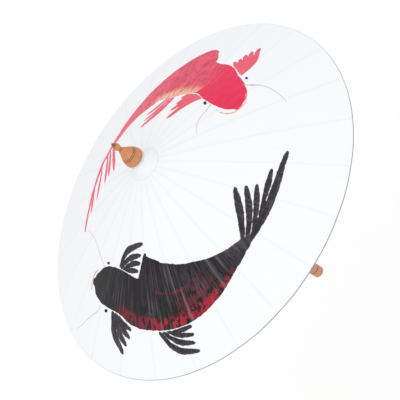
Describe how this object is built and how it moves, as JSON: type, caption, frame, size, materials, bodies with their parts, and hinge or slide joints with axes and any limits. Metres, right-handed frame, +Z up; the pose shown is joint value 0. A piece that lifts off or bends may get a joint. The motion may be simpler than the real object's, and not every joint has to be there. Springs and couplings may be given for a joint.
{
  "type": "oil paper umbrella",
  "caption": "Open parasol of painted oiled paper on folding bamboo ribs and stretchers, with a wooden shaft, sliding runner, catch, turned handle and turned finial.",
  "frame": {"origin": "centre of the handle's lower end, with the umbrella upright and open", "axes": "+Z up the shaft towards the finial; +X towards the side that the catch and rib_01 face; +Y completes a right-handed frame"},
  "size_m": [0.84, 0.84, 0.713],
  "materials": {
    "paper": "satin",
    "bamboo": "satin",
    "shaft_wood": "satin",
    "hub_wood": "matte",
    "handle_wood": "satin",
    "finial_wood": "satin",
    "thread": "matte"
  },
  "bodies": {
    "stick": {"shaft": "shaft_wood", "handle": "handle_wood", "finial": "finial_wood", "top_hub": "hub_wood", "apex_cap": "paper", "canopy": "paper", "rim_cord": "thread", "hub_thread": "thread", "catch_pin": "bamboo"},
    "runner": {"runner": "hub_wood", "runner_thread": "thread"},
    "catch": {"catch": "bamboo"},
    "rib_01": {"rib_01": "bamboo"},
    "rib_02": {"rib_02": "bamboo"},
    "rib_03": {"rib_03": "bamboo"},
    "rib_04": {"rib_04": "bamboo"},
    "rib_05": {"rib_05": "bamboo"},
    "rib_06": {"rib_06": "bamboo"},
    "rib_07": {"rib_07": "bamboo"},
    "rib_08": {"rib_08": "bamboo"},
    "rib_09": {"rib_09": "bamboo"},
    "rib_10": {"rib_10": "bamboo"},
    "rib_11": {"rib_11": "bamboo"},
    "rib_12": {"rib_12": "bamboo"},
    "rib_13": {"rib_13": "bamboo"},
    "rib_14": {"rib_14": "bamboo"},
    "rib_15": {"rib_15": "bamboo"},
    "rib_16": {"rib_16": "bamboo"},
    "rib_17": {"rib_17": "bamboo"},
    "rib_18": {"rib_18": "bamboo"},
    "rib_19": {"rib_19": "bamboo"},
    "rib_20": {"rib_20": "bamboo"},
    "rib_21": {"rib_21": "bamboo"},
    "rib_22": {"rib_22": "bamboo"},
    "rib_23": {"rib_23": "bamboo"},
    "rib_24": {"rib_24": "bamboo"},
    "stretcher_01": {"stretcher_01": "bamboo"},
    "stretcher_02": {"stretcher_02": "bamboo"},
    "stretcher_03": {"stretcher_03": "bamboo"},
    "stretcher_04": {"stretcher_04": "bamboo"},
    "stretcher_05": {"stretcher_05": "bamboo"},
    "stretcher_06": {"stretcher_06": "bamboo"},
    "stretcher_07": {"stretcher_07": "bamboo"},
    "stretcher_08": {"stretcher_08": "bamboo"},
    "stretcher_09": {"stretcher_09": "bamboo"},
    "stretcher_10": {"stretcher_10": "bamboo"},
    "stretcher_11": {"stretcher_11": "bamboo"},
    "stretcher_12": {"stretcher_12": "bamboo"},
    "stretcher_13": {"stretcher_13": "bamboo"},
    "stretcher_14": {"stretcher_14": "bamboo"},
    "stretcher_15": {"stretcher_15": "bamboo"},
    "stretcher_16": {"stretcher_16": "bamboo"},
    "stretcher_17": {"stretcher_17": "bamboo"},
    "stretcher_18": {"stretcher_18": "bamboo"},
    "stretcher_19": {"stretcher_19": "bamboo"},
    "stretcher_20": {"stretcher_20": "bamboo"},
    "stretcher_21": {"stretcher_21": "bamboo"},
    "stretcher_22": {"stretcher_22": "bamboo"},
    "stretcher_23": {"stretcher_23": "bamboo"},
    "stretcher_24": {"stretcher_24": "bamboo"}
  },
  "joints": [
    {"name": "rib_01_hinge", "type": "hinge", "parent": "stick", "child": "rib_01", "pos_m": [0.016, 0, 0.616], "axis": [0, 1, 0], "range_deg": [0, 64]},
    {"name": "stretcher_01_pin", "type": "hinge", "parent": "rib_01", "child": "stretcher_01", "pos_m": [0.18404, 0, 0.55149], "axis": [0, 1, 0], "range_deg": [-128, 0]},
    {"name": "rib_02_hinge", "type": "hinge", "parent": "stick", "child": "rib_02", "pos_m": [0.01545, 0.00414, 0.616], "axis": [-0.2588, 0.9659, 0], "range_deg": [0, 64]},
    {"name": "stretcher_02_pin", "type": "hinge", "parent": "rib_02", "child": "stretcher_02", "pos_m": [0.17777, 0.04763, 0.55149], "axis": [-0.2588, 0.9659, 0], "range_deg": [-128, 0]},
    {"name": "rib_03_hinge", "type": "hinge", "parent": "stick", "child": "rib_03", "pos_m": [0.01386, 0.008, 0.616], "axis": [-0.5, 0.866, 0], "range_deg": [0, 64]},
    {"name": "stretcher_03_pin", "type": "hinge", "parent": "rib_03", "child": "stretcher_03", "pos_m": [0.15939, 0.09202, 0.55149], "axis": [-0.5, 0.866, 0], "range_deg": [-128, 0]},
    {"name": "rib_04_hinge", "type": "hinge", "parent": "stick", "child": "rib_04", "pos_m": [0.01131, 0.01131, 0.616], "axis": [-0.7071, 0.7071, 0], "range_deg": [0, 64]},
    {"name": "stretcher_04_pin", "type": "hinge", "parent": "rib_04", "child": "stretcher_04", "pos_m": [0.13014, 0.13014, 0.55149], "axis": [-0.7071, 0.7071, 0], "range_deg": [-128, 0]},
    {"name": "rib_05_hinge", "type": "hinge", "parent": "stick", "child": "rib_05", "pos_m": [0.008, 0.01386, 0.616], "axis": [-0.866, 0.5, 0], "range_deg": [0, 64]},
    {"name": "stretcher_05_pin", "type": "hinge", "parent": "rib_05", "child": "stretcher_05", "pos_m": [0.09202, 0.15939, 0.55149], "axis": [-0.866, 0.5, 0], "range_deg": [-128, 0]},
    {"name": "rib_06_hinge", "type": "hinge", "parent": "stick", "child": "rib_06", "pos_m": [0.00414, 0.01545, 0.616], "axis": [-0.9659, 0.2588, 0], "range_deg": [0, 64]},
    {"name": "stretcher_06_pin", "type": "hinge", "parent": "rib_06", "child": "stretcher_06", "pos_m": [0.04763, 0.17777, 0.55149], "axis": [-0.9659, 0.2588, 0], "range_deg": [-128, 0]},
    {"name": "rib_07_hinge", "type": "hinge", "parent": "stick", "child": "rib_07", "pos_m": [0, 0.016, 0.616], "axis": [-1, 0, 0], "range_deg": [0, 64]},
    {"name": "stretcher_07_pin", "type": "hinge", "parent": "rib_07", "child": "stretcher_07", "pos_m": [0, 0.18404, 0.55149], "axis": [-1, 0, 0], "range_deg": [-128, 0]},
    {"name": "rib_08_hinge", "type": "hinge", "parent": "stick", "child": "rib_08", "pos_m": [-0.00414, 0.01545, 0.616], "axis": [-0.9659, -0.2588, 0], "range_deg": [0, 64]},
    {"name": "stretcher_08_pin", "type": "hinge", "parent": "rib_08", "child": "stretcher_08", "pos_m": [-0.04763, 0.17777, 0.55149], "axis": [-0.9659, -0.2588, 0], "range_deg": [-128, 0]},
    {"name": "rib_09_hinge", "type": "hinge", "parent": "stick", "child": "rib_09", "pos_m": [-0.008, 0.01386, 0.616], "axis": [-0.866, -0.5, 0], "range_deg": [0, 64]},
    {"name": "stretcher_09_pin", "type": "hinge", "parent": "rib_09", "child": "stretcher_09", "pos_m": [-0.09202, 0.15939, 0.55149], "axis": [-0.866, -0.5, 0], "range_deg": [-128, 0]},
    {"name": "rib_10_hinge", "type": "hinge", "parent": "stick", "child": "rib_10", "pos_m": [-0.01131, 0.01131, 0.616], "axis": [-0.7071, -0.7071, 0], "range_deg": [0, 64]},
    {"name": "stretcher_10_pin", "type": "hinge", "parent": "rib_10", "child": "stretcher_10", "pos_m": [-0.13014, 0.13014, 0.55149], "axis": [-0.7071, -0.7071, 0], "range_deg": [-128, 0]},
    {"name": "rib_11_hinge", "type": "hinge", "parent": "stick", "child": "rib_11", "pos_m": [-0.01386, 0.008, 0.616], "axis": [-0.5, -0.866, 0], "range_deg": [0, 64]},
    {"name": "stretcher_11_pin", "type": "hinge", "parent": "rib_11", "child": "stretcher_11", "pos_m": [-0.15939, 0.09202, 0.55149], "axis": [-0.5, -0.866, 0], "range_deg": [-128, 0]},
    {"name": "rib_12_hinge", "type": "hinge", "parent": "stick", "child": "rib_12", "pos_m": [-0.01545, 0.00414, 0.616], "axis": [-0.2588, -0.9659, 0], "range_deg": [0, 64]},
    {"name": "stretcher_12_pin", "type": "hinge", "parent": "rib_12", "child": "stretcher_12", "pos_m": [-0.17777, 0.04763, 0.55149], "axis": [-0.2588, -0.9659, 0], "range_deg": [-128, 0]},
    {"name": "rib_13_hinge", "type": "hinge", "parent": "stick", "child": "rib_13", "pos_m": [-0.016, 0, 0.616], "axis": [0, -1, 0], "range_deg": [0, 64]},
    {"name": "stretcher_13_pin", "type": "hinge", "parent": "rib_13", "child": "stretcher_13", "pos_m": [-0.18404, 0, 0.55149], "axis": [0, -1, 0], "range_deg": [-128, 0]},
    {"name": "rib_14_hinge", "type": "hinge", "parent": "stick", "child": "rib_14", "pos_m": [-0.01545, -0.00414, 0.616], "axis": [0.2588, -0.9659, 0], "range_deg": [0, 64]},
    {"name": "stretcher_14_pin", "type": "hinge", "parent": "rib_14", "child": "stretcher_14", "pos_m": [-0.17777, -0.04763, 0.55149], "axis": [0.2588, -0.9659, 0], "range_deg": [-128, 0]},
    {"name": "rib_15_hinge", "type": "hinge", "parent": "stick", "child": "rib_15", "pos_m": [-0.01386, -0.008, 0.616], "axis": [0.5, -0.866, 0], "range_deg": [0, 64]},
    {"name": "stretcher_15_pin", "type": "hinge", "parent": "rib_15", "child": "stretcher_15", "pos_m": [-0.15939, -0.09202, 0.55149], "axis": [0.5, -0.866, 0], "range_deg": [-128, 0]},
    {"name": "rib_16_hinge", "type": "hinge", "parent": "stick", "child": "rib_16", "pos_m": [-0.01131, -0.01131, 0.616], "axis": [0.7071, -0.7071, 0], "range_deg": [0, 64]},
    {"name": "stretcher_16_pin", "type": "hinge", "parent": "rib_16", "child": "stretcher_16", "pos_m": [-0.13014, -0.13014, 0.55149], "axis": [0.7071, -0.7071, 0], "range_deg": [-128, 0]},
    {"name": "rib_17_hinge", "type": "hinge", "parent": "stick", "child": "rib_17", "pos_m": [-0.008, -0.01386, 0.616], "axis": [0.866, -0.5, 0], "range_deg": [0, 64]},
    {"name": "stretcher_17_pin", "type": "hinge", "parent": "rib_17", "child": "stretcher_17", "pos_m": [-0.09202, -0.15939, 0.55149], "axis": [0.866, -0.5, 0], "range_deg": [-128, 0]},
    {"name": "rib_18_hinge", "type": "hinge", "parent": "stick", "child": "rib_18", "pos_m": [-0.00414, -0.01545, 0.616], "axis": [0.9659, -0.2588, 0], "range_deg": [0, 64]},
    {"name": "stretcher_18_pin", "type": "hinge", "parent": "rib_18", "child": "stretcher_18", "pos_m": [-0.04763, -0.17777, 0.55149], "axis": [0.9659, -0.2588, 0], "range_deg": [-128, 0]},
    {"name": "rib_19_hinge", "type": "hinge", "parent": "stick", "child": "rib_19", "pos_m": [0, -0.016, 0.616], "axis": [1, 0, 0], "range_deg": [0, 64]},
    {"name": "stretcher_19_pin", "type": "hinge", "parent": "rib_19", "child": "stretcher_19", "pos_m": [0, -0.18404, 0.55149], "axis": [1, 0, 0], "range_deg": [-128, 0]},
    {"name": "rib_20_hinge", "type": "hinge", "parent": "stick", "child": "rib_20", "pos_m": [0.00414, -0.01545, 0.616], "axis": [0.9659, 0.2588, 0], "range_deg": [0, 64]},
    {"name": "stretcher_20_pin", "type": "hinge", "parent": "rib_20", "child": "stretcher_20", "pos_m": [0.04763, -0.17777, 0.55149], "axis": [0.9659, 0.2588, 0], "range_deg": [-128, 0]},
    {"name": "rib_21_hinge", "type": "hinge", "parent": "stick", "child": "rib_21", "pos_m": [0.008, -0.01386, 0.616], "axis": [0.866, 0.5, 0], "range_deg": [0, 64]},
    {"name": "stretcher_21_pin", "type": "hinge", "parent": "rib_21", "child": "stretcher_21", "pos_m": [0.09202, -0.15939, 0.55149], "axis": [0.866, 0.5, 0], "range_deg": [-128, 0]},
    {"name": "rib_22_hinge", "type": "hinge", "parent": "stick", "child": "rib_22", "pos_m": [0.01131, -0.01131, 0.616], "axis": [0.7071, 0.7071, 0], "range_deg": [0, 64]},
    {"name": "stretcher_22_pin", "type": "hinge", "parent": "rib_22", "child": "stretcher_22", "pos_m": [0.13014, -0.13014, 0.55149], "axis": [0.7071, 0.7071, 0], "range_deg": [-128, 0]},
    {"name": "rib_23_hinge", "type": "hinge", "parent": "stick", "child": "rib_23", "pos_m": [0.01386, -0.008, 0.616], "axis": [0.5, 0.866, 0], "range_deg": [0, 64]},
    {"name": "stretcher_23_pin", "type": "hinge", "parent": "rib_23", "child": "stretcher_23", "pos_m": [0.15939, -0.09202, 0.55149], "axis": [0.5, 0.866, 0], "range_deg": [-128, 0]},
    {"name": "rib_24_hinge", "type": "hinge", "parent": "stick", "child": "rib_24", "pos_m": [0.01545, -0.00414, 0.616], "axis": [0.2588, 0.9659, 0], "range_deg": [0, 64]},
    {"name": "stretcher_24_pin", "type": "hinge", "parent": "rib_24", "child": "stretcher_24", "pos_m": [0.17777, -0.04763, 0.55149], "axis": [0.2588, 0.9659, 0], "range_deg": [-128, 0]},
    {"name": "runner_hinge", "type": "hinge", "parent": "stretcher_01", "child": "runner", "pos_m": [0.016, 0, 0.48699], "axis": [0, 1, 0], "range_deg": [0, 64]},
    {"name": "catch_pivot", "type": "hinge", "parent": "stick", "child": "catch", "pos_m": [0.003, 0, 0.435], "axis": [0, 1, 0], "range_deg": [0, 8], "stiffness_Nm_per_rad": 0.1, "springref_deg": 8}
  ],
  "couplings": [
    {"joint": "stretcher_01_pin", "follows": "rib_01_hinge", "ratio": -2},
    {"joint": "rib_02_hinge", "follows": "rib_01_hinge", "ratio": 1},
    {"joint": "stretcher_02_pin", "follows": "rib_01_hinge", "ratio": -2},
    {"joint": "rib_03_hinge", "follows": "rib_01_hinge", "ratio": 1},
    {"joint": "stretcher_03_pin", "follows": "rib_01_hinge", "ratio": -2},
    {"joint": "rib_04_hinge", "follows": "rib_01_hinge", "ratio": 1},
    {"joint": "stretcher_04_pin", "follows": "rib_01_hinge", "ratio": -2},
    {"joint": "rib_05_hinge", "follows": "rib_01_hinge", "ratio": 1},
    {"joint": "stretcher_05_pin", "follows": "rib_01_hinge", "ratio": -2},
    {"joint": "rib_06_hinge", "follows": "rib_01_hinge", "ratio": 1},
    {"joint": "stretcher_06_pin", "follows": "rib_01_hinge", "ratio": -2},
    {"joint": "rib_07_hinge", "follows": "rib_01_hinge", "ratio": 1},
    {"joint": "stretcher_07_pin", "follows": "rib_01_hinge", "ratio": -2},
    {"joint": "rib_08_hinge", "follows": "rib_01_hinge", "ratio": 1},
    {"joint": "stretcher_08_pin", "follows": "rib_01_hinge", "ratio": -2},
    {"joint": "rib_09_hinge", "follows": "rib_01_hinge", "ratio": 1},
    {"joint": "stretcher_09_pin", "follows": "rib_01_hinge", "ratio": -2},
    {"joint": "rib_10_hinge", "follows": "rib_01_hinge", "ratio": 1},
    {"joint": "stretcher_10_pin", "follows": "rib_01_hinge", "ratio": -2},
    {"joint": "rib_11_hinge", "follows": "rib_01_hinge", "ratio": 1},
    {"joint": "stretcher_11_pin", "follows": "rib_01_hinge", "ratio": -2},
    {"joint": "rib_12_hinge", "follows": "rib_01_hinge", "ratio": 1},
    {"joint": "stretcher_12_pin", "follows": "rib_01_hinge", "ratio": -2},
    {"joint": "rib_13_hinge", "follows": "rib_01_hinge", "ratio": 1},
    {"joint": "stretcher_13_pin", "follows": "rib_01_hinge", "ratio": -2},
    {"joint": "rib_14_hinge", "follows": "rib_01_hinge", "ratio": 1},
    {"joint": "stretcher_14_pin", "follows": "rib_01_hinge", "ratio": -2},
    {"joint": "rib_15_hinge", "follows": "rib_01_hinge", "ratio": 1},
    {"joint": "stretcher_15_pin", "follows": "rib_01_hinge", "ratio": -2},
    {"joint": "rib_16_hinge", "follows": "rib_01_hinge", "ratio": 1},
    {"joint": "stretcher_16_pin", "follows": "rib_01_hinge", "ratio": -2},
    {"joint": "rib_17_hinge", "follows": "rib_01_hinge", "ratio": 1},
    {"joint": "stretcher_17_pin", "follows": "rib_01_hinge", "ratio": -2},
    {"joint": "rib_18_hinge", "follows": "rib_01_hinge", "ratio": 1},
    {"joint": "stretcher_18_pin", "follows": "rib_01_hinge", "ratio": -2},
    {"joint": "rib_19_hinge", "follows": "rib_01_hinge", "ratio": 1},
    {"joint": "stretcher_19_pin", "follows": "rib_01_hinge", "ratio": -2},
    {"joint": "rib_20_hinge", "follows": "rib_01_hinge", "ratio": 1},
    {"joint": "stretcher_20_pin", "follows": "rib_01_hinge", "ratio": -2},
    {"joint": "rib_21_hinge", "follows": "rib_01_hinge", "ratio": 1},
    {"joint": "stretcher_21_pin", "follows": "rib_01_hinge", "ratio": -2},
    {"joint": "rib_22_hinge", "follows": "rib_01_hinge", "ratio": 1},
    {"joint": "stretcher_22_pin", "follows": "rib_01_hinge", "ratio": -2},
    {"joint": "rib_23_hinge", "follows": "rib_01_hinge", "ratio": 1},
    {"joint": "stretcher_23_pin", "follows": "rib_01_hinge", "ratio": -2},
    {"joint": "rib_24_hinge", "follows": "rib_01_hinge", "ratio": 1},
    {"joint": "stretcher_24_pin", "follows": "rib_01_hinge", "ratio": -2},
    {"joint": "runner_hinge", "follows": "rib_01_hinge", "ratio": 1}
  ]
}
